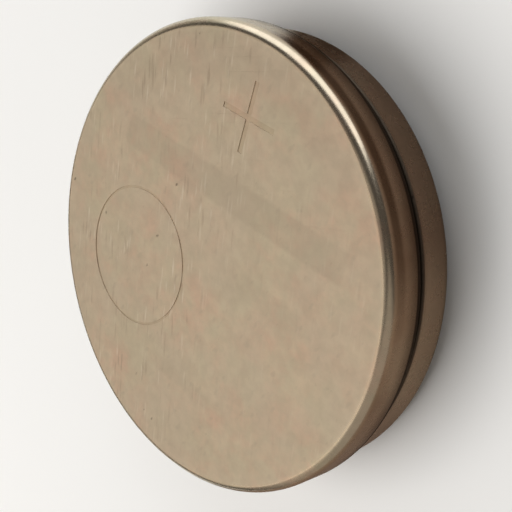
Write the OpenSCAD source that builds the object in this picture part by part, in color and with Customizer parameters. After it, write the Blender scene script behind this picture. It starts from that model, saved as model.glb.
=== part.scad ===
// Lithium coin cell with a rolled groove in its side wall.
// The cell lies on its negative cap, with the positive face on top.
// Every piece is turned about the Z axis, so each module spins one half section (radius, height).

/* [Overall] */
// Largest diameter, across the wall beside the positive face
cell_d = 23; // [20:0.1:28]
// Height from the negative terminal to the positive face
cell_h = 5.4; // [4.5:0.1:7]

/* [Positive can] */
// Thickness of the can's sheet
can_t = 0.25; // [0.2:0.01:0.3]
// Outer radius of the drawn edge round the positive face
face_edge_r = 0.5; // [0.4:0.05:0.7]
// Outer radius of the shoulder where the wall rolls into the groove
shoulder_r = 0.6; // [0.5:0.05:0.7]
// Width of the groove between its two flanks
groove_w = 0.35; // [0.3:0.05:0.45]
// Depth of the groove below the full-width wall
groove_depth = 1.1; // [0.9:0.05:1.35]
// Height of the seal band's straight side, from the groove to the crimp
band_h = 1.55; // [1.2:0.05:1.9]
// How far the seal band lies inside the full-width wall, on the radius
band_inset = 0.4; // [0.3:0.05:0.5]
// Radius of the pressed upper edge of the seal band
band_edge_r = 0.12; // [0.05:0.01:0.2]
// Outer radius of the crimp that closes the band over the seal
crimp_r = 0.6; // [0.5:0.05:0.7]
// Angle that the crimped lip turns through, past the end of the band
crimp_angle = 110; // [95:1:120]

/* [Marks on the positive face] */
// Depth of the stamped lines
mark_depth = 0.03; // [0.01:0.01:0.06]
// Width of the plus sign's two lines
plus_line_w = 0.28; // [0.1:0.02:0.5]
// Span of the plus sign, tip to tip
plus_span = 3.4; // [2:0.1:5]
// Gap between the plus sign and the start of the face's drawn edge
plus_margin = 1.6; // [0.5:0.1:3]
// Direction of the plus sign from the middle, in degrees
plus_angle = 85; // [0:5:360]
// Width of the stamped ring's line
ring_line_w = 0.12; // [0.06:0.01:0.2]
// Outer diameter of the stamped ring
ring_mark_d = 7.3; // [4:0.1:8]
// Gap between the stamped ring and the start of the face's drawn edge
ring_margin = 2.4; // [0.5:0.1:5]
// Direction of the stamped ring from the middle of the face, anticlockwise from +X
ring_angle = 205; // [0:5:360]

/* [Negative cap] */
// Thickness of the cap's sheet
cap_t = 0.25; // [0.2:0.01:0.3]
// Height of the negative terminal beyond the crimp
cap_proud = 0.5; // [0.4:0.05:0.6]
// Outer radius of the drawn edge round the negative terminal
cap_edge_r = 0.5; // [0.3:0.05:0.5]
// How far the terminal's wall lies inside the cap's skirt, on the radius
cap_step = 0.7; // [0.65:0.05:1]
// Outer radius of the shoulder where the cap turns down into its skirt
cap_shoulder_r = 0.4; // [0.3:0.05:0.4]
// Radius of the corner between the terminal's wall and the shoulder
cap_corner_r = 0.2; // [0.1:0.05:0.25]

/* [Sealing gasket] */
// Thickness of the gasket between the band and the cap's skirt
gasket_t = 0.35; // [0.25:0.05:0.45]
// Thickness of the gasket squeezed between the crimp and the cap's shoulder
gasket_lid_t = 0.2; // [0.15:0.01:0.3]
// Thickness of the gasket's foot, between the groove's ledge and the cap's rim
gasket_foot_t = 0.3; // [0.2:0.05:0.4]
// Thickness of the gasket's inner leg, inside the cap's skirt
gasket_leg_t = 0.35; // [0.25:0.05:0.45]
// Gap between the end of the gasket's inner leg and the bend under the cap's skirt
gasket_leg_gap = 0.1; // [0.02:0.02:0.4]
// Depth of the gasket's mouth inside the end of the crimp
gasket_mouth_drop = 0.08; // [0.02:0.01:0.15]
// Gap between the gasket's mouth and the terminal's wall
gasket_mouth_gap = 0.08; // [0.05:0.01:0.2]
// Working gap between the gasket and the metal round it
seal_clear = 0.01; // [0.005:0.005:0.03]

/* [Inner stack] */
// Thickness of the lithium disc
anode_t = 1.3; // [1:0.1:1.6]
// Gap between the lithium disc and the start of the cap's drawn edge
anode_clear = 0.5; // [0.3:0.1:1]
// Thickness of the separator
separator_t = 0.3; // [0.1:0.05:0.4]
// Gap between the separator and the gasket's inner leg
separator_clear = 0.1; // [0.05:0.05:0.3]
// Gap between the stack and the narrowest way in
stack_clear = 0.25; // [0.15:0.05:0.5]
// Thickness of the collector ring's sheet
collector_t = 0.15; // [0.1:0.01:0.2]
// Height of the collector ring
collector_h = 1; // [0.6:0.1:1.5]
// Width of the collector ring's foot under the pellet
collector_foot_w = 0.8; // [0.4:0.1:1.5]
// Fitting gap between the collector ring and the pellet
collector_clear = 0.02; // [0.01:0.01:0.05]

/* [Hidden] */
$fn = 128;

// Radii, from the outside in
wall_r = cell_d / 2;
face_r = wall_r - face_edge_r;
band_r = wall_r - band_inset;
band_bore_r = band_r - can_t;
throat_r = wall_r - groove_depth - can_t;
skirt_r = band_bore_r - gasket_t;
terminal_r = skirt_r - cap_step;
leg_bore_r = skirt_r - cap_t - gasket_leg_t;
stack_r = min(leg_bore_r, throat_r) - stack_clear;
pellet_r = stack_r - collector_t - collector_clear;

// Heights of the can's turns, from the crimp up
crimp_z = cap_proud + crimp_r;
groove_bottom_z = crimp_z + band_h;
ledge_z = groove_bottom_z - can_t;
groove_top_z = groove_bottom_z + groove_w;
wall_end_z = groove_top_z + shoulder_r;

// Centre of the groove's round bottom and of the crimp, in the half section
groove_eye = [wall_r - groove_depth + groove_w / 2, groove_bottom_z + groove_w / 2];
crimp_eye = [band_r - crimp_r, crimp_z];

// Heights and bends of the cap
cap_shoulder_z = cap_proud + can_t + gasket_lid_t;
cap_rim_z = ledge_z - gasket_foot_t;
cap_corner_eye = [terminal_r + cap_corner_r, cap_shoulder_z - cap_corner_r];
cap_shoulder_eye = [skirt_r - cap_shoulder_r, cap_shoulder_z + cap_shoulder_r];

// Mouth of the gasket, in the ring between the crimp and the terminal
gasket_mouth_z = cap_proud + gasket_mouth_drop;
gasket_mouth_r = terminal_r + gasket_mouth_gap;

// Heights of the stack inside
anode_top_z = cap_t + anode_t;
separator_top_z = anode_top_z + separator_t;
can_floor_z = cell_h - can_t;

// Slice of a disc between two angles, as a fan that reaches past the disc's rim
module fan(reach, from_angle, to_angle) {
    rays = 6;
    step = (to_angle - from_angle) / rays;
    rim = [for (i = [0:rays]) let (a = from_angle + i * step) 2 * reach * [cos(a), sin(a)]];
    polygon(concat([[0, 0]], rim));
}

// Bend in a sheet of thickness t: outer radius r, round the eye of the bend
module bend(eye, r, t, from_angle, to_angle) {
    translate(eye)
        intersection() {
            difference() {
                circle(r);
                circle(r - t);
            }
            fan(r, from_angle, to_angle);
        }
}

// Flat or upright stretch of a section, between two opposite corners
module strip(low, high) {
    translate(low) square(high - low);
}

// Plus sign, with its tips short of the face's drawn edge
module plus_mark() {
    reach = face_r - plus_margin - plus_span / 2;
    translate(reach * [cos(plus_angle), sin(plus_angle)]) {
        square([plus_span, plus_line_w], center = true);
        square([plus_line_w, plus_span], center = true);
    }
}

// Plain ring, short of the face's drawn edge
module ring_mark() {
    rotate(ring_angle)
        translate([face_r - ring_margin - ring_mark_d / 2, 0])
            difference() {
                circle(d = ring_mark_d);
                circle(d = ring_mark_d - 2 * ring_line_w);
            }
}

// Stamped lines, cut from just above the positive face down to their depth
module face_marks() {
    translate([0, 0, cell_h - mark_depth])
        linear_extrude(2 * mark_depth) {
            plus_mark();
            ring_mark();
        }
}

// One sheet, deep drawn, then rolled inwards at the groove and crimped over the gasket
module can_section() {
    strip([0, cell_h - can_t], [face_r, cell_h]);
    bend([face_r, cell_h - face_edge_r], face_edge_r, can_t, 0, 90);
    strip([wall_r - can_t, wall_end_z], [wall_r, cell_h - face_edge_r]);
    bend([wall_r - shoulder_r, wall_end_z], shoulder_r, can_t, 270, 360);
    strip([groove_eye.x, groove_top_z], [wall_r - shoulder_r, groove_top_z + can_t]);
    bend(groove_eye, groove_w / 2 + can_t, can_t, 90, 270);
    strip([groove_eye.x, ledge_z], [band_r - can_t, groove_bottom_z]);
    band_corner();
    strip([band_r - can_t, crimp_z], [band_r, ledge_z]);
    bend(crimp_eye, crimp_r, can_t, 360 - crimp_angle, 360);
}

// Corner between the groove's lower flank and the band, pressed nearly square
module band_corner() {
    corner = [band_r - band_edge_r, groove_bottom_z - band_edge_r];
    strip([band_r - can_t, ledge_z], [corner.x, groove_bottom_z]);
    strip([corner.x, ledge_z], [band_r, corner.y]);
    bend(corner, band_edge_r, band_edge_r, 0, 90);
}

module positive_can() {
    color([0.70, 0.63, 0.53])
        difference() {
            rotate_extrude() can_section();
            face_marks();
        }
}

// One sheet, drawn with a raised terminal and a wider skirt that stands in the gasket
module cap_section() {
    edge_r = terminal_r - cap_edge_r;
    strip([0, 0], [edge_r, cap_t]);
    bend([edge_r, cap_edge_r], cap_edge_r, cap_t, 270, 360);
    strip([terminal_r - cap_t, cap_edge_r], [terminal_r, cap_corner_eye.y]);
    bend(cap_corner_eye, cap_corner_r + cap_t, cap_t, 90, 180);
    strip([cap_corner_eye.x, cap_shoulder_z], [cap_shoulder_eye.x, cap_shoulder_z + cap_t]);
    bend(cap_shoulder_eye, cap_shoulder_r, cap_t, 270, 360);
    strip([skirt_r - cap_t, cap_shoulder_eye.y], [skirt_r, cap_rim_z]);
}

module negative_cap() {
    color([0.72, 0.71, 0.69]) rotate_extrude() cap_section();
}

// Space that the cap's shoulder, its skirt and all inside them fill, with the working gap
module cap_space() {
    top_z = cap_rim_z + seal_clear;
    strip([0, cap_shoulder_z - seal_clear], [cap_shoulder_eye.x, top_z]);
    strip([0, cap_shoulder_eye.y], [skirt_r + seal_clear, top_z]);
    translate(cap_shoulder_eye) circle(cap_shoulder_r + seal_clear);
    difference() {
        strip([0, cap_corner_eye.y], [cap_corner_eye.x, cap_shoulder_z]);
        translate(cap_corner_eye) circle(cap_corner_r - seal_clear);
    }
}

// Space that the crimped lip fills, and everything beyond it
module crimp_space() {
    inner_r = crimp_r - can_t - seal_clear;
    swing = crimp_angle + 180 / PI * seal_clear / inner_r;
    translate(crimp_eye)
        difference() {
            fan(2 * crimp_r, 360 - swing, 360);
            circle(inner_r);
        }
}

// Moulded channel that wraps the cap's skirt and keeps it apart from the can
module gasket_section() {
    outer_r = band_bore_r - seal_clear;
    top_z = ledge_z - seal_clear;
    difference() {
        strip([gasket_mouth_r, gasket_mouth_z], [outer_r, top_z]);
        cap_space();
        crimp_space();
    }
    strip([leg_bore_r, cap_rim_z + seal_clear], [outer_r, top_z]);
    strip([leg_bore_r, cap_shoulder_eye.y + gasket_leg_gap], [skirt_r - cap_t - seal_clear, top_z]);
}

module sealing_gasket() {
    color([0.16, 0.15, 0.15]) rotate_extrude() gasket_section();
}

// Lithium disc, pressed onto the inside of the cap
module lithium_anode() {
    color([0.78, 0.79, 0.80])
        translate([0, 0, cap_t])
            cylinder(h = anode_t, r = terminal_r - cap_edge_r - anode_clear);
}

// Soaked non-woven disc that keeps the lithium apart from the pellet
module separator() {
    color([0.93, 0.92, 0.88])
        translate([0, 0, anode_top_z])
            cylinder(h = separator_t, r = leg_bore_r - separator_clear);
}

// Thin stainless ring of L section that carries the current from the pellet to the can
module collector_ring() {
    color([0.62, 0.62, 0.63])
        rotate_extrude() {
            strip([pellet_r - collector_foot_w, can_floor_z - collector_t], [stack_r, can_floor_z]);
            strip([stack_r - collector_t, can_floor_z - collector_h], [stack_r, can_floor_z]);
        }
}

// Pressed disc of cathode mix, rebated for the collector ring's foot
module cathode_pellet() {
    foot_r = pellet_r - collector_foot_w - collector_clear;
    foot_z = can_floor_z - collector_t - collector_clear;
    color([0.13, 0.13, 0.14])
        rotate_extrude() {
            strip([0, separator_top_z], [foot_r, can_floor_z]);
            strip([0, separator_top_z], [pellet_r, foot_z]);
        }
}

positive_can();
negative_cap();
sealing_gasket();
lithium_anode();
separator();
cathode_pellet();
collector_ring();
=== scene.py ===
# %% [markdown]
# # A lithium coin cell
# This cell is a flat steel can with a groove rolled into its side. A raised cap closes its far end,
# and a plastic gasket keeps the two apart. It lies on the cap, with the positive face on top.
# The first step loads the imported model, which fixes every size and place. All lengths here are in
# metres, and one millimetre has its own name, because the cell is only 23 of them across.

# %% Load the frame
import math

import bmesh
import bpy
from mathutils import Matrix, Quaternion, Vector


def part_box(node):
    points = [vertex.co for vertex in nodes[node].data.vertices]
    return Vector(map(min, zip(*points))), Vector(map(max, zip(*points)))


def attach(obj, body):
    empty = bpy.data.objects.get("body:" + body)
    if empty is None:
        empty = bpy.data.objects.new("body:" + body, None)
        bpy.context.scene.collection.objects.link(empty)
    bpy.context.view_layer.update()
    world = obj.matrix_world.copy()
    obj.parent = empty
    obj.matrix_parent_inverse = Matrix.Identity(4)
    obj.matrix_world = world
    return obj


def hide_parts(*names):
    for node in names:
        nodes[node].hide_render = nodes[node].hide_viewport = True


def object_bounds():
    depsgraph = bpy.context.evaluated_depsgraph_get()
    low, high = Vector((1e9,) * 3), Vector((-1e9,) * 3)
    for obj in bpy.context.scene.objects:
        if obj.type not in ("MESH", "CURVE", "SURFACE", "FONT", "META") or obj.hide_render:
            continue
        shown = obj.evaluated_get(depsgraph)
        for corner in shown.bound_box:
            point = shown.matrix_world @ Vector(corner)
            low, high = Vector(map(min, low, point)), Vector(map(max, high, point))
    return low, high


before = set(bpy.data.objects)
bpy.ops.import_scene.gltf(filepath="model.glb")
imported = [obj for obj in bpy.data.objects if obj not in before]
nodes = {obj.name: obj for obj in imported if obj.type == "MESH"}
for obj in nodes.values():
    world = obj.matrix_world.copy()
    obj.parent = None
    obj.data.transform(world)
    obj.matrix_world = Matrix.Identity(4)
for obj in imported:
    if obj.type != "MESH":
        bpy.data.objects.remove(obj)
cad_low, cad_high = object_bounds()

MM = 0.001
scene = bpy.context.scene
print("cell size in mm:", [round(side / MM, 2) for side in cad_high - cad_low])

# %% [markdown]
# The camera looks down on the positive face from a little under 45 degrees, from close by, so that
# the near side of the face is drawn larger than the far side. Its lens is a short telephoto. It is
# rolled by about a quarter turn, so that the side wall shows at the right of the picture. The view
# is set by what it aims at, its distance and three angles, which are easier to read than a matrix.

# %% Camera
AIM = Vector((3.29 * MM, 2.01 * MM, cad_high.z))
CAMERA_DISTANCE = 45.5 * MM
CAMERA_AZIMUTH = math.radians(35.33)
CAMERA_ELEVATION = math.radians(43.76)
CAMERA_ROLL = math.radians(-100.53)
LENS = 70.3
NEAREST_DRAWN = 1 * MM


def direction(azimuth, elevation):
    """Unit vector towards an azimuth from +X and a height above the horizon, both in radians."""
    level = math.cos(elevation)
    return Vector((math.cos(azimuth) * level, math.sin(azimuth) * level, math.sin(elevation)))


towards_camera = direction(CAMERA_AZIMUTH, CAMERA_ELEVATION)
camera_data = bpy.data.cameras.new("camera")
camera_data.lens = LENS
camera_data.clip_start = NEAREST_DRAWN
camera = bpy.data.objects.new("camera", camera_data)
camera.location = AIM + towards_camera * CAMERA_DISTANCE
level_turn = (-towards_camera).to_track_quat("-Z", "Y")
camera.rotation_mode = "QUATERNION"
camera.rotation_quaternion = level_turn @ Quaternion((0, 0, 1), CAMERA_ROLL)
scene.collection.objects.link(camera)
scene.camera = camera
print("camera in mm:", [round(c / MM, 1) for c in camera.location])

# %% [markdown]
# Shaders are built from nodes. These small helpers add one node, set its options, and fill its
# inputs: a number goes into the socket, and a socket from another node is joined to it. The Mix
# node has a set of sockets for each kind of value, and only numbers tell its colour sockets apart.

# %% Helpers that add nodes
MIX_FACTOR, MIX_FIRST, MIX_SECOND = 0, 6, 7
MIX_RESULT = 2


def add(tree, kind, inputs=(), **options):
    node = tree.nodes.new(kind)
    for name, value in options.items():
        setattr(node, name, value)
    for name, value in dict(inputs).items():
        if isinstance(value, bpy.types.NodeSocket):
            tree.links.new(value, node.inputs[name])
        else:
            node.inputs[name].default_value = value
    return node


def mixed(tree, factor, first, second):
    values = {MIX_FACTOR: factor, MIX_FIRST: first, MIX_SECOND: second}
    return add(tree, "ShaderNodeMix", values, data_type="RGBA").outputs[MIX_RESULT]


def maths(tree, operation, first, second=0.0):
    return add(tree, "ShaderNodeMath", {0: first, 1: second}, operation=operation).outputs["Value"]


def vector_maths(tree, operation, first, second):
    node = add(tree, "ShaderNodeVectorMath", {0: first, 1: second}, operation=operation)
    return node.outputs["Vector"]


def length_of(tree, vector):
    return add(tree, "ShaderNodeVectorMath", {0: vector}, operation="LENGTH").outputs["Value"]


def ramp(tree, value, low, high, to_low=0.0, to_high=1.0):
    """Turns a range of values into another, with a soft start and end."""
    node = add(tree, "ShaderNodeMapRange", {
        "Value": value, "From Min": low, "From Max": high, "To Min": to_low, "To Max": to_high},
        interpolation_type="SMOOTHSTEP")
    return node.outputs["Result"]


def axes_of(tree, vector):
    return add(tree, "ShaderNodeSeparateXYZ", {"Vector": vector}).outputs


def new_material(name):
    material = bpy.data.materials.new(name)
    material.use_nodes = True
    material.node_tree.nodes.clear()
    return material, material.node_tree


print("node helpers:", [helper.__name__ for helper in (add, mixed, maths, vector_maths, length_of, ramp)])

# %% [markdown]
# The floor is a plain pale sheet. A faint, slow change of tone keeps it from looking like a flat
# cut-out, and well away from the cell it melts into the pale wall, so that no horizon shows from
# the side. Bright paper all round would wash out the steel's side wall, as it does in a real
# studio, where dark cards are stood just outside the picture. Here the floor itself plays those
# cards: rays mirrored by the steel see it pale on the far side of the cell and brown on the
# camera's side, with a darker strip along the limit and a lighter patch in the middle.

# %% Floor
FLOOR_SIZE = 3.0
FLOOR_GAP = 0.005 * MM
FADE_START = 45 * MM
FADE_END = 130 * MM
PALE = (1.0, 0.99, 0.97)
PALE_STRENGTH = 0.80
PAPER_TONES = ((0.86, 0.855, 0.845, 1), (0.90, 0.895, 0.885, 1))
PALE_CARD = (0.73, 0.76, 0.75, 1)
BROWN_CARD = (0.235, 0.18, 0.145, 1)
LIGHT_PATCH = (0.32, 0.265, 0.215, 1)
DARK_STRIP = (0.085, 0.045, 0.022, 1)
PALE_UP_TO = (-4.0 * MM, -2.4 * MM)
STRIP_UP_TO = (0.2 * MM, 2.0 * MM)
PATCH_MIDDLE = 0.3 * MM
PATCH_REACH = (2.5 * MM, 6.5 * MM)


def mirrored_floor(tree, spot):
    """Colour that the steel sees: bands along X, with one lighter patch along Y."""
    across, along = axes_of(tree, spot)[:2]
    sideways = maths(tree, "ABSOLUTE", maths(tree, "SUBTRACT", along, PATCH_MIDDLE))
    brown = mixed(tree, ramp(tree, sideways, *PATCH_REACH), LIGHT_PATCH, BROWN_CARD)
    brown = mixed(tree, ramp(tree, across, *STRIP_UP_TO), DARK_STRIP, brown)
    return mixed(tree, ramp(tree, across, *PALE_UP_TO), PALE_CARD, brown)


floor_material, tree = new_material("floor paper")
spot = add(tree, "ShaderNodeTexCoord").outputs["Object"]
cloud = add(tree, "ShaderNodeTexNoise", {"Vector": spot, "Scale": 30.0, "Detail": 3.0})
tone = mixed(tree, cloud.outputs["Fac"], *PAPER_TONES)
ray = add(tree, "ShaderNodeLightPath").outputs
seen = mixed(tree, ray["Is Glossy Ray"], tone, mirrored_floor(tree, spot))
paper = add(tree, "ShaderNodeBsdfPrincipled", {"Base Color": seen, "Roughness": 0.9})
haze = add(tree, "ShaderNodeEmission", {"Color": (*PALE, 1), "Strength": PALE_STRENGTH})
far_off = ramp(tree, length_of(tree, spot), FADE_START, FADE_END)
far_off = maths(tree, "MULTIPLY", far_off, ray["Is Camera Ray"])
ground = add(tree, "ShaderNodeMixShader", {
    0: far_off, 1: paper.outputs["BSDF"], 2: haze.outputs["Emission"]})
add(tree, "ShaderNodeOutputMaterial", {"Surface": ground.outputs["Shader"]})

half = FLOOR_SIZE / 2
corners = [(-half, -half, 0), (half, -half, 0), (half, half, 0), (-half, half, 0)]
floor_mesh = bpy.data.meshes.new("floor")
floor_mesh.from_pydata(corners, [], [(0, 1, 2, 3)])
floor_mesh.materials.append(floor_material)
floor = bpy.data.objects.new("floor", floor_mesh)
scene.collection.objects.link(floor)
floor.location.z = cad_low.z - FLOOR_GAP
print("floor at z =", round(floor.location.z / MM, 3), "mm")

# %% [markdown]
# Polished metal has no look of its own: it shows the lights. So each light is placed by the
# direction in which the steel mirrors it. A wide soft box behind the cell gives the face its even
# tone, two beside it carry that tone round the lower edge, and a brighter one puts the long
# highlight on the drawn edge. A weak, low one stands in the gap between the first and the last of
# these, and another weak one hangs overhead, for a view of the face from above. The camera's own
# side stays dark. The paper floor needs more light than the steel can take, so one lamp is hidden
# from reflections and lights only what is matt. The room is dim, but the camera sees a pale wall.

# %% Lights
WARM = (1.0, 0.93, 0.83)
COOL = (0.92, 0.97, 1.0)
WHITE = (1.0, 1.0, 1.0)
DIM = (1.0, 0.95, 0.90)
DIM_STRENGTH = 0.065
LAMP_DISTANCE = 0.20
FLOOR_LAMP_DISTANCE = 0.35
cell_middle = (cad_low + cad_high) / 2


def soft_box(name, azimuth, elevation, distance, size, power, colour, in_reflections=True):
    out = direction(math.radians(azimuth), math.radians(elevation))
    lamp = bpy.data.lights.new(name, "AREA")
    lamp.shape = "RECTANGLE"
    lamp.size, lamp.size_y = size
    lamp.energy = power
    lamp.color = colour
    holder = bpy.data.objects.new(name, lamp)
    holder.location = cell_middle + out * distance
    holder.rotation_mode = "QUATERNION"
    holder.rotation_quaternion = (-out).to_track_quat("-Z", "Y")
    holder.visible_glossy = in_reflections
    scene.collection.objects.link(holder)


soft_box("face light", -139, 48, LAMP_DISTANCE, (0.24, 0.22), 0.1055, WARM)
soft_box("corner light", -96, 46, LAMP_DISTANCE, (0.09, 0.26), 0.010, WARM)
soft_box("front light", -42, 30, LAMP_DISTANCE, (0.42, 0.28), 0.104, WARM)
soft_box("edge light", 106, 18, LAMP_DISTANCE, (0.34, 0.16), 0.26, COOL)
soft_box("top light", 0, 90, LAMP_DISTANCE, (0.11, 0.11), 0.009, WARM)
soft_box("left light", 168, 6, LAMP_DISTANCE, (0.24, 0.10), 0.022, WARM)
soft_box("floor light", -120, 60, FLOOR_LAMP_DISTANCE, (0.35, 0.35), 1.05, WHITE, in_reflections=False)

world = bpy.data.worlds.new("studio")
world.use_nodes = True
tree = world.node_tree
tree.nodes.clear()
room = add(tree, "ShaderNodeBackground", {"Color": (*DIM, 1), "Strength": DIM_STRENGTH})
wall = add(tree, "ShaderNodeBackground", {"Color": (*PALE, 1), "Strength": PALE_STRENGTH})
ray = add(tree, "ShaderNodeLightPath").outputs
both = add(tree, "ShaderNodeMixShader", {
    0: ray["Is Camera Ray"], 1: room.outputs["Background"], 2: wall.outputs["Background"]})
add(tree, "ShaderNodeOutputWorld", {"Surface": both.outputs["Shader"]})
scene.world = world
scene.view_settings.view_transform = "Standard"

# %% [markdown]
# The can, the cap and the gasket are all turned shapes: one outline, spun about the upright axis.
# Each outline is a closed path of (radius, height) points. Straight runs get a point close to each
# end, so that smooth shading stays inside the bend and the flats stay flat, and each round bend is
# an arc that a formula lays out.

# %% Outline helpers
BEND_STEPS = 12
HOLD = 0.03 * MM
WIDEST_RUN = 1.2 * MM


def arc(eye, radius, from_angle, to_angle, steps=BEND_STEPS):
    angles = [math.radians(from_angle + (to_angle - from_angle) * i / steps) for i in range(steps + 1)]
    return [(eye[0] + radius * math.cos(a), eye[1] + radius * math.sin(a)) for a in angles]


def with_holds(outline):
    """Adds points near both ends of each straight run, and splits a long run evenly."""
    points = []
    for (r0, z0), (r1, z1) in zip(outline, outline[1:] + outline[:1]):
        points.append((r0, z0))
        length = math.hypot(r1 - r0, z1 - z0)
        if length < 4 * HOLD:
            continue
        inner = length - 2 * HOLD
        pieces = max(1, math.ceil(inner / WIDEST_RUN))
        for i in range(pieces + 1):
            share = (HOLD + inner * i / pieces) / length
            points.append((r0 + (r1 - r0) * share, z0 + (z1 - z0) * share))
    return points


print("a bend has", BEND_STEPS, "steps, and a straight run is split every", WIDEST_RUN / MM, "mm")

# %% [markdown]
# Spinning the outline is a rule, so Geometry Nodes do it: the outline is the profile of a Curve to
# Mesh node, and its path is a circle. The points on the axis come together in one pole, so doubles
# are merged. The tree takes the number of segments, the circle's radius and the material by name.

# %% Geometry nodes: turn an outline
PATH_RADIUS = 5 * MM
POLE_GAP = 0.0005 * MM


def turning_tree():
    tree = bpy.data.node_groups.new("turn outline", "GeometryNodeTree")
    face = tree.interface
    face.new_socket("Outline", in_out="INPUT", socket_type="NodeSocketGeometry")
    face.new_socket("Segments", in_out="INPUT", socket_type="NodeSocketInt")
    face.new_socket("Path radius", in_out="INPUT", socket_type="NodeSocketFloat")
    face.new_socket("Material", in_out="INPUT", socket_type="NodeSocketMaterial")
    face.new_socket("Turned", in_out="OUTPUT", socket_type="NodeSocketGeometry")
    start = add(tree, "NodeGroupInput")
    circle = add(tree, "GeometryNodeCurvePrimitiveCircle", {
        "Resolution": start.outputs["Segments"], "Radius": start.outputs["Path radius"]})
    turned = add(tree, "GeometryNodeCurveToMesh", {
        "Curve": circle.outputs["Curve"], "Profile Curve": start.outputs["Outline"]})
    merged = add(tree, "GeometryNodeMergeByDistance", {
        "Geometry": turned.outputs["Mesh"], "Distance": POLE_GAP})
    smooth = add(tree, "GeometryNodeSetShadeSmooth", {"Geometry": merged.outputs["Geometry"]})
    whole = add(tree, "GeometryNodeRealizeInstances", {"Geometry": smooth.outputs["Geometry"]})
    coated = add(tree, "GeometryNodeSetMaterial", {
        "Geometry": whole.outputs["Geometry"], "Material": start.outputs["Material"]})
    add(tree, "NodeGroupOutput", {"Turned": coated.outputs["Geometry"]})
    return tree


turn_tree = turning_tree()
print("tree:", turn_tree.name, "with", len(turn_tree.nodes), "nodes")

# %% [markdown]
# A modifier's inputs go by each socket's identifier. The evaluated object then gives a plain mesh:
# doubles are merged, faces are made to point outwards, and two kinds of edge are counted. An open
# edge has one face, and would be a hole. A loose edge has none: where an outline runs along the
# axis, its turns fall together and leave a few of those inside the metal, where nothing shows.

# %% Helper: a turned piece
DOUBLE_GAP = 0.0002 * MM


def turned_piece(name, outline, segments, material):
    """Spins a closed (radius, height) outline into a solid mesh object."""
    curve = bpy.data.curves.new(name + " outline", "CURVE")
    spline = curve.splines.new("POLY")
    spline.points.add(len(outline) - 1)
    for point, (r, z) in zip(spline.points, outline):
        point.co = (r - PATH_RADIUS, -z, 0, 1)
    spline.use_cyclic_u = True
    holder = bpy.data.objects.new(name + " outline", curve)
    scene.collection.objects.link(holder)
    modifier = holder.modifiers.new("turn", "NODES")
    modifier.node_group = turn_tree
    identifiers = {s.name: s.identifier for s in turn_tree.interface.items_tree if s.in_out == "INPUT"}
    modifier[identifiers["Segments"]] = segments
    modifier[identifiers["Path radius"]] = PATH_RADIUS
    modifier[identifiers["Material"]] = material
    shape = holder.evaluated_get(bpy.context.evaluated_depsgraph_get())
    mesh = bpy.data.meshes.new_from_object(shape)
    bpy.data.objects.remove(holder)
    mesh.name = name
    work = bmesh.new()
    work.from_mesh(mesh)
    bmesh.ops.remove_doubles(work, verts=work.verts, dist=DOUBLE_GAP)
    bmesh.ops.recalc_face_normals(work, faces=work.faces)
    if work.calc_volume(signed=True) < 0:
        bmesh.ops.reverse_faces(work, faces=work.faces)
    open_edges = sum(1 for edge in work.edges if len(edge.link_faces) == 1)
    loose_edges = sum(1 for edge in work.edges if edge.is_wire)
    work.to_mesh(mesh)
    work.free()
    piece = bpy.data.objects.new(name, mesh)
    scene.collection.objects.link(piece)
    size = [round(s / MM, 2) for s in piece.dimensions]
    edges = f"{open_edges} open and {loose_edges} loose edges"
    print(f"{name}: {len(mesh.polygons)} faces, {edges}, size {size} mm")
    return piece


print("a turned piece merges points closer than", DOUBLE_GAP / MM, "mm")

# %% [markdown]
# Several finishes share the same small effects, so each effect is a node group with named inputs,
# made once. All of them work in millimetres. The first gives slow cloudy patches, for colour that
# wanders over the metal.

# %% Group: patches
VECTOR, NUMBER = "NodeSocketVector", "NodeSocketFloat"


def new_group(name, output, **inputs):
    """Shader node group that reads a Vector and the named numbers, and puts out one number."""
    tree = bpy.data.node_groups.new(name, "ShaderNodeTree")
    tree.interface.new_socket("Vector", in_out="INPUT", socket_type=VECTOR)
    for title, value in inputs.items():
        socket = tree.interface.new_socket(title.replace("_", " "), in_out="INPUT", socket_type=NUMBER)
        socket.default_value = value
    tree.interface.new_socket(output, in_out="OUTPUT", socket_type=NUMBER)
    return tree, add(tree, "NodeGroupInput").outputs


patches, given = new_group("patches", "Value", Size=3.0, Contrast=0.2, Seed=0.0)
moved = vector_maths(patches, "ADD", given["Vector"], given["Seed"])
scale = maths(patches, "DIVIDE", 1.0, given["Size"])
cloud = add(patches, "ShaderNodeTexNoise", {
    "Vector": moved, "Scale": scale, "Detail": 4.0, "Roughness": 0.55}).outputs["Fac"]
low = maths(patches, "SUBTRACT", 0.5, given["Contrast"])
high = maths(patches, "ADD", 0.5, given["Contrast"])
add(patches, "NodeGroupOutput", {"Value": ramp(patches, cloud, low, high)})
print("group:", patches.name, list(given.keys()))

# %% [markdown]
# The second group scatters small marks of one length and width, all lying one way: streaks when
# they are long, pits when length and width are nearly the same. Each mark is the middle of one cell
# of a stretched Voronoi pattern, and a share of the cells is kept. A noise that shifts the pattern
# makes the marks ragged.

# %% Group: small marks
RAGGED = (0.7, 0.7, 0.7)
CORE_EDGE = (0.12, 0.38)

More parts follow.
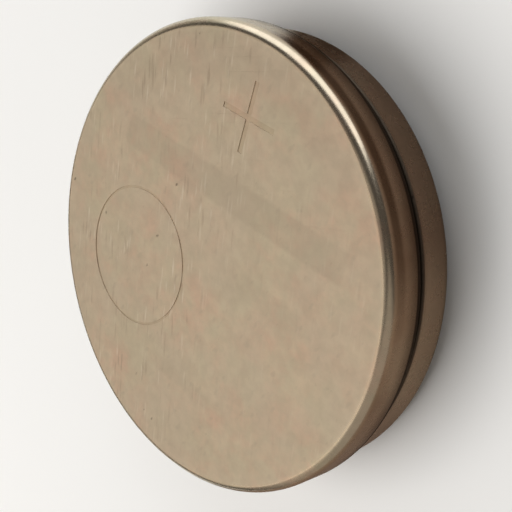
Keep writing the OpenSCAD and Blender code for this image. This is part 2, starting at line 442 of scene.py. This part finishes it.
marks, given = new_group("small marks", "Mask", Angle=0.0, Length=2.0, Width=0.1, Share=0.3, Seed=0.0)
turned = add(marks, "ShaderNodeVectorRotate", {
    "Vector": given["Vector"], "Angle": given["Angle"]}, rotation_type="Z_AXIS").outputs["Vector"]
cell = add(marks, "ShaderNodeCombineXYZ", {
    "X": given["Width"], "Y": given["Length"], "Z": given["Length"]}).outputs["Vector"]
shifted = vector_maths(marks, "ADD", vector_maths(marks, "DIVIDE", turned, cell), given["Seed"])
ragged = add(marks, "ShaderNodeTexNoise", {"Vector": shifted, "Scale": 1.7, "Detail": 2.0}).outputs["Color"]
shifted = vector_maths(marks, "ADD", shifted, vector_maths(marks, "MULTIPLY", ragged, RAGGED))
cells = add(marks, "ShaderNodeTexVoronoi", {"Vector": shifted, "Scale": 1.0}).outputs
core = ramp(marks, cells["Distance"], *CORE_EDGE, 1.0, 0.0)
chance = add(marks, "ShaderNodeSeparateColor", {"Color": cells["Color"]}).outputs["Red"]
kept = maths(marks, "LESS_THAN", chance, given["Share"])
add(marks, "NodeGroupOutput", {"Mask": maths(marks, "MULTIPLY", core, kept)})
print("group:", marks.name, list(given.keys()))

# %% [markdown]
# Turned, rolled and crimped metal carries fine rings where the tool ran round it. The third group
# makes them: a noise that sees only the distance from the axis and the height.

# %% Group: tool rings
def reach_and_height(tree, vector):
    """Distance from the upright axis, and height."""
    x, y, z = axes_of(tree, vector)
    flat = add(tree, "ShaderNodeCombineXYZ", {"X": x, "Y": y})
    return length_of(tree, flat.outputs["Vector"]), z


rings, given = new_group("tool rings", "Value", Pitch=0.1)
reach, height = reach_and_height(rings, given["Vector"])
section = add(rings, "ShaderNodeCombineXYZ", {"X": reach, "Y": height}).outputs["Vector"]
fine = maths(rings, "DIVIDE", 1.0, given["Pitch"])
wave = add(rings, "ShaderNodeTexNoise", {
    "Vector": section, "Scale": fine, "Detail": 2.0}, noise_dimensions="2D")
add(rings, "NodeGroupOutput", {"Value": wave.outputs["Fac"]})
print("group:", rings.name, list(given.keys()))

# %% [markdown]
# The fourth group marks out a ring-shaped zone by its radius and height, with soft limits. It says
# where dirt gathers, where a stamp was pressed in, and where the side wall has tarnished.

# %% Group: ring zone
zone, given = new_group(
    "ring zone", "Mask", Inner_radius=0.0, Outer_radius=1.0, Low=0.0, High=1.0, Softness=0.1)
reach, height = reach_and_height(zone, given["Vector"])
inside = 1.0
for more, less in (
        (reach, given["Inner radius"]), (given["Outer radius"], reach),
        (height, given["Low"]), (given["High"], height)):
    margin = maths(zone, "DIVIDE", maths(zone, "SUBTRACT", more, less), given["Softness"])
    inside = maths(zone, "MULTIPLY", ramp(zone, margin, -0.5, 0.5), inside)
add(zone, "NodeGroupOutput", {"Mask": inside})
print("group:", zone.name, list(given.keys()))

# %% [markdown]
# A material places the groups it needs, each with its own values, and mixes their colours. These
# helpers keep that to one line for each effect, and the last one ends every material alike: a bump
# from the heights, one shader and the output. A value that is the same all over, such as how
# metallic the piece is, goes straight onto the shader.

# %% Helpers for a finish
def place_group(tree, group, vector, **values):
    node = tree.nodes.new("ShaderNodeGroup")
    node.node_tree = group
    tree.links.new(vector, node.inputs["Vector"])
    for title, value in values.items():
        node.inputs[title.replace("_", " ").capitalize()].default_value = value
    return node.outputs[0]


def in_millimetres(tree):
    place = add(tree, "ShaderNodeTexCoord")
    return vector_maths(tree, "MULTIPLY", place.outputs["Object"], (1 / MM, 1 / MM, 1 / MM))


def product(tree, first, *others):
    for other in others:
        first = maths(tree, "MULTIPLY", first, other)
    return first


def scaled_sum(tree, base, *terms):
    """Adds values, each times its own weight, to a base value."""
    total = base
    for value, weight in terms:
        total = maths(tree, "ADD", maths(tree, "MULTIPLY", value, weight), total)
    return total


def layered(tree, base, *layers):
    """Lays tints over a base colour, in order. A layer is a mask, its strength and its colour."""
    colour = (*base, 1)
    for mask, strength, shade in layers:
        colour = mixed(tree, maths(tree, "MULTIPLY", mask, strength), colour, (*shade, 1))
    return colour


def finish(tree, colour, roughness, height, strength, depth, **plain):
    bump = add(tree, "ShaderNodeBump", {"Height": height, "Strength": strength, "Distance": depth})
    shader = add(tree, "ShaderNodeBsdfPrincipled", {
        "Base Color": colour, "Roughness": roughness, "Normal": bump.outputs["Normal"], **plain})
    add(tree, "ShaderNodeOutputMaterial", {"Surface": shader.outputs["BSDF"]})


print("finish helpers:", [helper.__name__ for helper in (place_group, product, scaled_sum, layered, finish)])

# %% [markdown]
# The can is drawn from nickel-plated steel sheet, a quarter of a millimetre thick. Its outline is
# followed along the outside, from the middle of the positive face to the crimped lip, and back
# along the inside. The band's upper corner is pressed nearly square, and every other turn is a bend
# of the sheet, whose inside radius is smaller by the thickness.

# %% The can's outline
can_low, can_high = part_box("positive_can")
wall_r = can_high.x
face_z = can_high.z
crimp_low = can_low.z
SHEET = 0.25 * MM
FACE_EDGE = 0.50 * MM
SHOULDER = 0.60 * MM
GROOVE_WIDTH = 0.35 * MM
GROOVE_DEPTH = 1.10 * MM
BAND_HEIGHT = 1.55 * MM
BAND_INSET = 0.40 * MM
BAND_EDGE = 0.12 * MM
CRIMP = 0.60 * MM
CRIMP_TURN = 110
LIP_ROUND = 0.04 * MM
LIP_SWING = math.degrees(LIP_ROUND / CRIMP) - CRIMP_TURN

face_r = wall_r - FACE_EDGE
band_r = wall_r - BAND_INSET
crimp_eye = (band_r - CRIMP, crimp_low + CRIMP)
groove_low = crimp_eye[1] + BAND_HEIGHT
groove_high = groove_low + GROOVE_WIDTH
wall_end = groove_high + SHOULDER
groove_eye = (wall_r - GROOVE_DEPTH + GROOVE_WIDTH / 2, groove_low + GROOVE_WIDTH / 2)


def can_outline():
    edge_eye = (face_r, face_z - FACE_EDGE)
    shoulder_eye = (wall_r - SHOULDER, wall_end)
    corner_eye = (band_r - BAND_EDGE, groove_low - BAND_EDGE)
    outside = [(0.0, face_z)]
    outside += arc(edge_eye, FACE_EDGE, 90, 0)
    outside += arc(shoulder_eye, SHOULDER, 0, -90)
    outside += arc(groove_eye, GROOVE_WIDTH / 2, 90, 270)
    outside += arc(corner_eye, BAND_EDGE, 90, 0, steps=6)
    outside += arc(crimp_eye, CRIMP, 0, LIP_SWING, steps=16)
    inside = arc(crimp_eye, CRIMP - SHEET, LIP_SWING, 0)
    inside += [(band_r - SHEET, groove_low - SHEET)]
    inside += arc(groove_eye, GROOVE_WIDTH / 2 + SHEET, 270, 90)
    inside += arc(shoulder_eye, SHOULDER - SHEET, -90, 0)
    inside += arc(edge_eye, FACE_EDGE - SHEET, 0, 90)
    inside += [(0.0, face_z - SHEET)]
    lip_angle = math.radians(-CRIMP_TURN)
    middle = CRIMP - SHEET / 2
    lip = (crimp_eye[0] + middle * math.cos(lip_angle), crimp_eye[1] + middle * math.sin(lip_angle))
    return outside + [lip] + inside


print("can outline:", len(can_outline()), "corner points")

# %% [markdown]
# The can isn't the same all over, so it is first divided into zones: the face, the floors and walls
# of its stamps, a painted shade near its rim, the side wall, a near-black painted shade under the
# drawn edge, the shoulder, the rolled groove and the crimped band. The side wall's brown is partly
# tarnish and partly painted shade, so it shows on one side only and fades out towards the other. A
# zone that has no real limit on some side ends well clear of the metal there.

# %% Zones of the can
CLEAR = 1.0


def can_zones(tree, spot):
    """Masks of the can's parts, by name. All limits are in millimetres."""
    face_mm, flat_mm, wall_mm, band_mm = (v / MM for v in (face_z, face_r, wall_r, band_r))
    band_top, wall_low = groove_low / MM, wall_end / MM
    x, y, _ = axes_of(tree, spot)
    # Painted shade: the side wall's brown and the band under its edge show only towards +X and fade out
    # towards -X.
    stain_and_shade_side = ramp(tree, x, -0.5, 1.8)

    def part(radii, heights, softness):
        return place_group(tree, zone, spot, inner_radius=radii[0], outer_radius=radii[1],
                           low=heights[0], high=heights[1], softness=softness)

    side = (band_mm, wall_mm + CLEAR)
    wall = part(side, (band_top + 0.2, face_mm - 0.35), 0.35)
    # Painted shade: a near-black band on the side wall just under the drawn edge.
    shade_under_edge = part(side, (face_mm - 0.95, face_mm - 0.40), 0.30)
    # Painted shade: the face is darkened near its rim, on one side only.
    rim_shade = part((8.9, 10.4), (face_mm - 0.4, face_mm + CLEAR), 0.9)
    return {
        "face": part((-CLEAR, flat_mm), (face_mm - 0.4, face_mm + CLEAR), 0.3),
        "stamped": part((-CLEAR, flat_mm), (face_mm - 0.06, face_mm - 0.008), 0.008),
        "mark walls painted light": part((-CLEAR, flat_mm), (face_mm - 0.027, face_mm - 0.001), 0.004),
        "rim_shade": product(tree, rim_shade, ramp(tree, y, 3.0, 9.0)),
        "wall": product(tree, wall, stain_and_shade_side),
        "shade under edge": product(tree, shade_under_edge, stain_and_shade_side, ramp(tree, y, 1.0, 8.0)),
        # Painted shade: the shoulder and the rolled groove are darkened to near black, where shade falls.
        "shoulder": part((0.0, wall_mm + CLEAR), (band_top, wall_low + 0.35), 0.9),
        "rolled": part((0.0, wall_mm + CLEAR), (band_top - 0.12, wall_low), 0.12),
        "band": part((band_mm - CLEAR, wall_mm), (-CLEAR, band_top), 0.2),
    }


print("can zones reach", CLEAR, "mm past the metal where they have no limit")

# %% [markdown]
# The face is covered in short rubbed streaks, dark and bright, that all run nearly one way. They
# thin out towards one side. Between them are flecks, fine hairlines, specks and a few pits, and
# under all of them slow patches lean towards pink, green and grey.

# %% Marks on the can
def can_marks(tree, spot, on_face):
    """Masks of everything that marks the plating, by name. Angles are in radians."""
    x = axes_of(tree, spot)["X"]

    def cloudy(**values):
        return place_group(tree, patches, spot, **values)

    def scattered(**values):
        return place_group(tree, marks, spot, **values)

    streaks = scattered(angle=-0.24, length=1.9, width=0.26, share=0.60, seed=1.0)
    rubs = scattered(angle=-0.20, length=1.6, width=0.21, share=0.50, seed=5.0)
    flecks = scattered(angle=0.5, length=0.8, width=0.40, share=0.30, seed=8.0)
    hair = scattered(angle=1.20, length=7.0, width=0.06, share=0.12, seed=2.0)
    specks = scattered(angle=0.2, length=0.30, width=0.16, share=0.05, seed=6.0)
    thinning = ramp(tree, x, -3.0, 5.0, 1.0, 0.25)
    worn = product(tree, cloudy(size=4.5, contrast=0.14, seed=21.0), thinning, on_face)
    return {
        "blush": cloudy(size=1.3, contrast=0.15, seed=3.0),
        "green": cloudy(size=2.2, contrast=0.15, seed=11.0),
        "grey": cloudy(size=3.4, contrast=0.15, seed=27.0),
        "mottle": cloudy(size=0.45, contrast=0.25, seed=7.0),
        "tarnish": cloudy(size=2.5, contrast=0.2, seed=37.0),
        "streaks": product(tree, streaks, worn),
        "rubs": product(tree, rubs, worn),
        "flecks": product(tree, flecks, on_face),
        "hair": product(tree, hair, on_face),
        "specks": product(tree, specks, on_face),
        "pits": scattered(angle=0.4, length=0.40, width=0.24, share=0.004, seed=4.0),
        "tool": place_group(tree, rings, spot, pitch=0.14),
    }


print("can marks use the groups", patches.name, "+", marks.name, "+", rings.name)

# %% [markdown]
# A cell carries lettering on its face. This one stays plain: three of the lines become faint,
# slightly darker bars of about their length and height, with a soft edge and the face's own
# mottle, and the rest is left bare. Each bar has its middle and size in millimetres, then its
# strength.

# %% Plain fields on the face
FIELD_EDGE = 0.25
FIELDS = (
    ((0.5, 3.9), (15.4, 1.6), 1.0),
    ((4.4, 0.2), (4.8, 1.2), 0.6),
    ((2.2, -6.6), (6.4, 0.8), 0.5),
)


def plain_field(tree, spot, middle, size):
    """Mask of an upright rectangle on the face, all in millimetres."""
    axes = axes_of(tree, spot)
    mask = 1.0
    for axis, centre, width in zip("XY", middle, size):
        away = maths(tree, "ABSOLUTE", maths(tree, "SUBTRACT", axes[axis], centre))
        edge = ramp(tree, away, (width - FIELD_EDGE) / 2, (width + FIELD_EDGE) / 2, 1.0, 0.0)
        mask = maths(tree, "MULTIPLY", edge, mask)
    return mask


def plain_fields(tree, spot, on_face, mottle):
    bars = [(plain_field(tree, spot, middle, size), strength) for middle, size, strength in FIELDS]
    return product(tree, scaled_sum(tree, 0.0, *bars), on_face, scaled_sum(tree, 1.1, (mottle, -0.4)))


print("plain fields on the face:", len(FIELDS))

# %% [markdown]
# The finish lays the marks over a warm champagne base, and then the zones: painted shade near the
# rim, grime in the stamps' floors, painted light on the walls round them, brown tarnish and painted
# shade on the side wall, a near-black painted shade under its edge, and painted shade on the shoulder
# and in the groove. Streaks and pits lie a little below the surface and rubs a little above.

# %% Material: the can's plated steel
CHAMPAGNE = (0.765, 0.620, 0.455)


def can_material():
    material, tree = new_material("champagne nickel")
    spot = in_millimetres(tree)
    part = can_zones(tree, spot)
    mark = can_marks(tree, spot, part["face"])
    fields = plain_fields(tree, spot, part["face"], mark["mottle"])
    colour = layered(
        tree, CHAMPAGNE,
        (mark["blush"], 0.90, (0.79, 0.560, 0.418)),
        (mark["green"], 0.80, (0.680, 0.612, 0.445)),
        (mark["grey"], 0.75, (0.71, 0.595, 0.455)),
        (mark["mottle"], 0.34, (0.56, 0.47, 0.35)),
        (mark["flecks"], 0.24, (0.50, 0.42, 0.32)),
        (mark["streaks"], 0.58, (0.51, 0.395, 0.29)),
        (mark["rubs"], 0.60, (0.93, 0.83, 0.69)),
        # Painted shade near the rim, on one side of the face.
        (part["rim_shade"], 0.18, (0.50, 0.38, 0.28)),
        (fields, 0.15, (0.50, 0.41, 0.32)),
        (mark["specks"], 0.12, (0.35, 0.26, 0.17)),
        (mark["pits"], 0.55, (0.16, 0.11, 0.07)),
        (part["stamped"], 0.16, (0.30, 0.22, 0.15)),
        # Painted light: the stamps' thin walls are made much lighter than the face.
        (part["mark walls painted light"], 0.90, (0.95, 0.86, 0.74)),
        # Brown on the side wall: partly tarnish, partly painted shade.
        (part["wall"], 0.54, (0.50, 0.38, 0.29)),
        (product(tree, part["wall"], mark["tarnish"]), 0.50, (0.40, 0.25, 0.17)),
        # Painted shade under the drawn edge.
        (part["shade under edge"], 0.80, (0.15, 0.09, 0.05)),
        (part["band"], 0.50, (0.74, 0.58, 0.47)),
        (product(tree, part["band"], mark["tarnish"]), 0.20, (0.50, 0.38, 0.30)),
        # Painted shade: near black on the shoulder and in the rolled groove.
        (part["shoulder"], 0.65, (0.09, 0.05, 0.03)),
        (part["rolled"], 0.80, (0.020, 0.010, 0.004)),
    )
    roughness = scaled_sum(
        tree, 0.23, (mark["mottle"], 0.04), (mark["blush"], 0.03), (mark["streaks"], 0.05),
        (part["rolled"], 0.35), (fields, 0.05), (part["face"], 0.10), (mark["pits"], 0.2),
        (part["mark walls painted light"], 0.50))
    height = scaled_sum(
        tree, 0.0, (mark["streaks"], -1.0), (mark["rubs"], 0.9), (mark["flecks"], -0.4),
        (mark["hair"], -0.5), (mark["pits"], -1.6), (mark["specks"], -0.35),
        (product(tree, mark["mottle"], part["face"]), 0.12), (mark["tool"], 0.18))
    finish(tree, colour, roughness, height, 0.55, 0.007 * MM, Metallic=1.0)
    return material


can_steel = can_material()
print("finish:", can_steel.name, "with", len(can_steel.node_tree.nodes), "nodes")

# %% [markdown]
# The can is spun from its outline. The plus sign and the ring are stamped three hundredths of a
# millimetre deep, so they are cut into the mesh by a Boolean modifier with two thin cutters. Cuts
# in a flat face keep their crisp sides once edges over 30 degrees are marked sharp.

# %% The can
SEGMENTS = 256
CREASE = math.radians(30)
MARK_DEPTH = 0.03 * MM
PLUS_SPAN = 3.4 * MM
PLUS_LINE = 0.28 * MM
PLUS_MARGIN = 1.6 * MM
PLUS_DIRECTION = math.radians(85)
RING_SIZE = 7.3 * MM
RING_LINE = 0.12 * MM
RING_MARGIN = 2.4 * MM
RING_DIRECTION = math.radians(205)


def cutter(name, rings_of_points):
    """Upright prism through the face, from closed outlines: the first outside, a second as its hole."""
    work = bmesh.new()
    low, high = face_z - MARK_DEPTH, face_z + MARK_DEPTH
    layers = [[[work.verts.new((x, y, z)) for x, y in ring] for z in (low, high)] for ring in rings_of_points]
    for below, above in layers:
        for i in range(len(below)):
            j = (i + 1) % len(below)
            work.faces.new((below[i], below[j], above[j], above[i]))
    for level in (0, 1):
        if len(layers) == 1:
            work.faces.new(layers[0][level])
            continue
        outer, inner = layers[0][level], layers[1][level]
        for i in range(len(outer)):
            j = (i + 1) % len(outer)
            work.faces.new((outer[i], outer[j], inner[j], inner[i]))
    bmesh.ops.recalc_face_normals(work, faces=work.faces)
    mesh = bpy.data.meshes.new(name)
    work.to_mesh(mesh)
    work.free()
    tool = bpy.data.objects.new(name, mesh)
    scene.collection.objects.link(tool)
    return tool


def plus_outline():
    long, thin = PLUS_SPAN / 2, PLUS_LINE / 2
    reach = face_r - PLUS_MARGIN - long
    middle = (reach * math.cos(PLUS_DIRECTION), reach * math.sin(PLUS_DIRECTION))
    points = []
    arm = [(thin, thin), (thin, long), (-thin, long)]
    for turn in range(4):
        points += arm
        arm = [(-y, x) for x, y in arm]
    return [(middle[0] + x, middle[1] + y) for x, y in points]


def ring_outline(radius, steps=96):
    reach = face_r - RING_MARGIN - RING_SIZE / 2
    middle = (reach * math.cos(RING_DIRECTION), reach * math.sin(RING_DIRECTION))
    return arc(middle, radius, 0, 360, steps)[:-1]


def cut_marks(piece, tools):
    for tool in tools:
        cut = piece.modifiers.new("stamp", "BOOLEAN")
        cut.operation = "DIFFERENCE"
        cut.solver = "EXACT"
        cut.object = tool
    shape = piece.evaluated_get(bpy.context.evaluated_depsgraph_get())
    mesh = bpy.data.meshes.new_from_object(shape)
    piece.modifiers.clear()
    piece.data = mesh
    for tool in tools:
        bpy.data.objects.remove(tool)
    mesh.set_sharp_from_angle(angle=CREASE)
    return mesh


can = turned_piece("can_shell", with_holds(can_outline()), SEGMENTS, can_steel)
stamped_mesh = cut_marks(can, [
    cutter("plus stamp", [plus_outline()]),
    cutter("ring stamp", [ring_outline(RING_SIZE / 2), ring_outline(RING_SIZE / 2 - RING_LINE)])])
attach(can, "root")
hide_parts("positive_can")
print("can with its marks:", len(stamped_mesh.polygons), "faces")

# %% [markdown]
# The cap is drawn from stainless sheet: a raised flat terminal, a short wall, a shoulder and a
# skirt that stands in the gasket. Only the terminal and its wall show, from below.

# %% The cap's outline
cap_low, cap_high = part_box("negative_cap")
skirt_r = cap_high.x
rim_z = cap_high.z
CAP_STEP = 0.70 * MM
CAP_EDGE = 0.50 * MM
CAP_SHOULDER = 0.40 * MM
CAP_CORNER = 0.20 * MM
SHOULDER_HEIGHT = 0.95 * MM

terminal_r = skirt_r - CAP_STEP
shoulder_z = cap_low.z + SHOULDER_HEIGHT
cap_corner_eye = (terminal_r + CAP_CORNER, shoulder_z - CAP_CORNER)
cap_shoulder_eye = (skirt_r - CAP_SHOULDER, shoulder_z + CAP_SHOULDER)


def cap_outline():
    edge_eye = (terminal_r - CAP_EDGE, cap_low.z + CAP_EDGE)
    outside = [(0.0, cap_low.z)]
    outside += arc(edge_eye, CAP_EDGE, -90, 0)
    outside += arc(cap_corner_eye, CAP_CORNER, 180, 90, steps=8)
    outside += arc(cap_shoulder_eye, CAP_SHOULDER, -90, 0)
    inside = [(skirt_r, rim_z), (skirt_r - SHEET, rim_z)]
    inside += arc(cap_shoulder_eye, CAP_SHOULDER - SHEET, 0, -90)
    inside += arc(cap_corner_eye, CAP_CORNER + SHEET, 90, 180, steps=8)
    inside += arc(edge_eye, CAP_EDGE - SHEET, 0, -90)
    return outside + inside + [(0.0, cap_low.z + SHEET)]


print("cap outline:", len(cap_outline()), "corner points")

# %% [markdown]
# The cap's steel is greyer than the can's and a little brighter. It has rings from drawing, and
# long hairlines in two directions where a holder's spring has slid over it. Its foot, in the step
# beside the gasket, is darkened to near black with painted shade.

# %% Material: the cap's stainless steel
def cap_material():
    material, tree = new_material("satin stainless")
    spot = in_millimetres(tree)
    cloud = place_group(tree, patches, spot, size=3.2, contrast=0.2, seed=31.0)
    mottle = place_group(tree, patches, spot, size=0.5, contrast=0.3, seed=33.0)
    tool = place_group(tree, rings, spot, pitch=0.10)
    hair = place_group(tree, marks, spot, angle=0.8, length=6.0, width=0.05, share=0.22, seed=12.0)
    hair_two = place_group(tree, marks, spot, angle=-0.3, length=4.0, width=0.04, share=0.18, seed=15.0)
    pits = place_group(tree, marks, spot, length=0.35, width=0.25, share=0.006, seed=17.0)
    # Painted shade: near black at the cap's foot, in the step beside the gasket.
    foot_shade = place_group(tree, zone, spot, inner_radius=terminal_r / MM - 0.05, outer_radius=skirt_r / MM,
                       low=0.3, high=shoulder_z / MM + 0.2, softness=0.25)
    colour = layered(
        tree, (0.66, 0.62, 0.56),
        (cloud, 0.5, (0.70, 0.64, 0.55)),
        (mottle, 0.10, (0.5, 0.46, 0.40)),
        (hair, 0.10, (0.82, 0.79, 0.74)),
        (pits, 0.5, (0.18, 0.14, 0.10)),
        (foot_shade, 0.7, (0.10, 0.075, 0.05)),
    )
    roughness = scaled_sum(tree, 0.27, (mottle, 0.05), (cloud, 0.05), (hair, 0.08), (foot_shade, 0.2))
    height = scaled_sum(tree, 0.0, (hair, -0.5), (hair_two, -0.45), (pits, -1.2), (tool, 0.4), (mottle, 0.1))
    finish(tree, colour, roughness, height, 0.5, 0.006 * MM, Metallic=1.0)
    return material


cap_steel = cap_material()
cap = turned_piece("cap_shell", with_holds(cap_outline()), SEGMENTS, cap_steel)
cap.data.set_sharp_from_angle(angle=CREASE)
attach(cap, "root")
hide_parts("negative_cap")

# %% [markdown]
# The gasket is a moulded channel of dark polypropylene. It fills the room between the band and the
# cap's skirt and passes under the skirt's rim. From below it shows as a narrow ring between the
# crimped lip and the terminal. Plastic isn't metal, so its shader has a faint waxy gloss instead.

# %% The gasket
gasket_low, gasket_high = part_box("sealing_gasket")
seal_r = gasket_high.x
seal_top = gasket_high.z
mouth_z = gasket_low.z
SEAL_GAP = 0.01 * MM
LEG = 0.35 * MM
LEG_GAP = 0.10 * MM
MOUTH_GAP = 0.08 * MM
MOUTH_ROUND = 0.05 * MM


def gasket_outline():
    mouth_r = terminal_r + MOUTH_GAP
    leg_r = skirt_r - SHEET - LEG
    inner = CRIMP - SHEET - SEAL_GAP
    swing = -CRIMP_TURN - math.degrees(SEAL_GAP / inner)
    reach = (mouth_z - crimp_eye[1]) / math.sin(math.radians(swing))
    lip_side = crimp_eye[0] + reach * math.cos(math.radians(swing))
    meet = math.degrees(math.acos((mouth_r - cap_corner_eye[0]) / (CAP_CORNER - SEAL_GAP)))
    points = arc((mouth_r + MOUTH_ROUND, mouth_z + MOUTH_ROUND), MOUTH_ROUND, 180, 270, steps=5)
    points += [(lip_side, mouth_z)]
    points += arc(crimp_eye, inner, swing, 0)
    points += [(seal_r, seal_top), (leg_r, seal_top), (leg_r, cap_shoulder_eye[1] + LEG_GAP)]
    points += [(skirt_r - SHEET - SEAL_GAP, cap_shoulder_eye[1] + LEG_GAP)]
    points += [(skirt_r - SHEET - SEAL_GAP, rim_z + SEAL_GAP), (skirt_r + SEAL_GAP, rim_z + SEAL_GAP)]
    points += arc(cap_shoulder_eye, CAP_SHOULDER + SEAL_GAP, 0, -90)
    points += arc(cap_corner_eye, CAP_CORNER - SEAL_GAP, 90, meet, steps=4)
    return points


def gasket_material():
    material, tree = new_material("dark polypropylene")
    spot = in_millimetres(tree)
    cloud = place_group(tree, patches, spot, size=1.2, contrast=0.25, seed=41.0)
    dust = place_group(tree, marks, spot, length=0.18, width=0.18, share=0.25, seed=43.0)
    tool = place_group(tree, rings, spot, pitch=0.08)
    colour = layered(
        tree, (0.030, 0.026, 0.023),
        (cloud, 0.5, (0.050, 0.043, 0.037)),
        (dust, 0.25, (0.20, 0.17, 0.13)),
    )
    roughness = scaled_sum(tree, 0.42, (cloud, 0.12), (dust, 0.15))
    height = scaled_sum(tree, 0.0, (tool, 0.6), (dust, 0.4))
    finish(tree, colour, roughness, height, 0.4, 0.01 * MM, IOR=1.49)
    return material


gasket = turned_piece("gasket_ring", with_holds(gasket_outline()), SEGMENTS, gasket_material())
gasket.data.set_sharp_from_angle(angle=CREASE)
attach(gasket, "root")
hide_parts("sealing_gasket")

# %% [markdown]
# The pieces sealed inside never show on a closed cell, but they are part of the model, so they keep
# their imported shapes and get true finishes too: dull soft lithium, a white fleece of fine fibres, a
# black pressed powder and a thin stainless ring.

# %% Materials and finish of the inner pieces
def lithium_material():
    material, tree = new_material("dull lithium")
    spot = in_millimetres(tree)
    bloom = place_group(tree, patches, spot, size=1.5, contrast=0.2, seed=51.0)
    rolled = place_group(tree, marks, spot, angle=0.0, length=5.0, width=0.10, share=0.5, seed=52.0)
    colour = layered(tree, (0.72, 0.73, 0.74), (bloom, 0.6, (0.46, 0.46, 0.48)))
    finish(tree, colour, scaled_sum(tree, 0.4, (bloom, 0.2)), rolled, 0.4, 0.01 * MM, Metallic=1.0)
    return material


def fleece_material():
    material, tree = new_material("separator fleece")
    spot = in_millimetres(tree)
    along = place_group(tree, marks, spot, angle=0.5, length=1.2, width=0.05, share=0.8, seed=61.0)
    across = place_group(tree, marks, spot, angle=-0.9, length=1.2, width=0.05, share=0.8, seed=62.0)
    fibres = maths(tree, "MAXIMUM", along, across)
    colour = mixed(tree, fibres, (0.80, 0.79, 0.75, 1), (0.92, 0.91, 0.88, 1))
    finish(tree, colour, 0.95, fibres, 0.8, 0.02 * MM)
    return material


def mix_material():
    material, tree = new_material("pressed cathode mix")
    spot = in_millimetres(tree)
    grain = place_group(tree, marks, spot, length=0.12, width=0.12, share=0.7, seed=71.0)
    cloud = place_group(tree, patches, spot, size=0.8, contrast=0.25, seed=72.0)
    colour = layered(tree, (0.018, 0.018, 0.019), (cloud, 0.6, (0.040, 0.039, 0.038)))
    finish(tree, colour, 0.88, grain, 0.7, 0.02 * MM)
    return material


def strip_material():
    material, tree = new_material("thin stainless strip")
    spot = in_millimetres(tree)
    tool = place_group(tree, rings, spot, pitch=0.08)
    cloud = place_group(tree, patches, spot, size=1.0, contrast=0.3, seed=81.0)
    colour = layered(tree, (0.55, 0.54, 0.53), (cloud, 0.5, (0.42, 0.41, 0.40)))
    finish(tree, colour, scaled_sum(tree, 0.25, (tool, 0.15)), tool, 0.3, 0.01 * MM, Metallic=1.0)
    return material


inner_finish = {
    "lithium_anode": lithium_material(),
    "separator": fleece_material(),
    "cathode_pellet": mix_material(),
    "collector_ring": strip_material(),
}
for name, material in inner_finish.items():
    for place in nodes[name].material_slots:
        place.material = material
    print(name, "wears", material.name)
